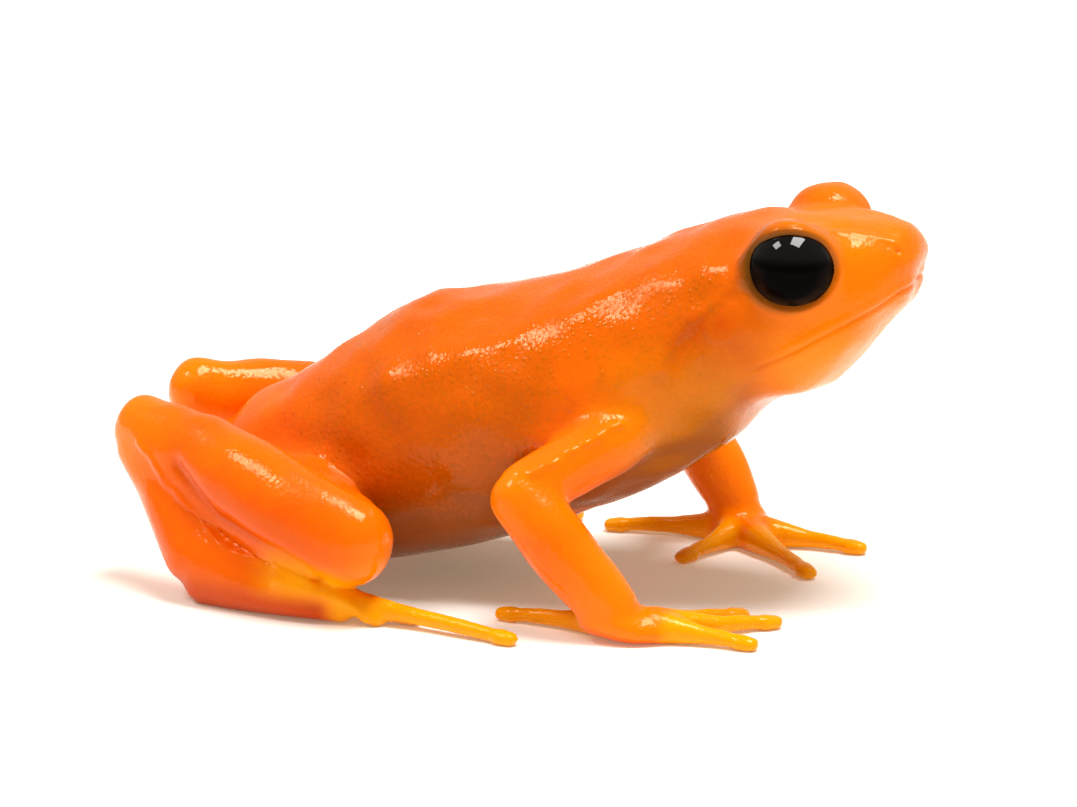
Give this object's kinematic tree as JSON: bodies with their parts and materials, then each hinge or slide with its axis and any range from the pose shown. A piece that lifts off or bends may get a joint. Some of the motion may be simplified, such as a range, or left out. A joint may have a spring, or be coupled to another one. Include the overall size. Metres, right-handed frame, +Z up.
{
  "type": "golden mantella frog",
  "caption": "Life-size small orange frog sitting with its chest raised on its forelimbs, hind legs folded and digits spread on the floor, as a still museum model.",
  "frame": {"origin": "on the floor, at the middle of the frog's bounding box", "axes": "+X towards the snout, +Y to the frog's left, +Z up"},
  "size_m": [0.0272, 0.0174, 0.0134],
  "materials": {
    "skin": "moist, finely granular orange skin",
    "digit_skin": "moist yellow-orange skin, smoother than the body's",
    "eye_surface": "wet black eye with a faint brown lower rim"
  },
  "bodies": {
    "root": {"head": "skin", "torso": "skin", "eye_right": "eye_surface", "eye_left": "eye_surface", "upper_arm_right": "skin", "forearm_right": "skin", "hand_right": "digit_skin", "thigh_right": "skin", "shank_right": "skin", "tarsus_right": "skin", "foot_right": "digit_skin", "upper_arm_left": "skin", "forearm_left": "skin", "hand_left": "digit_skin", "thigh_left": "skin", "shank_left": "skin", "tarsus_left": "skin", "foot_left": "digit_skin"}
  },
  "joints": []
}
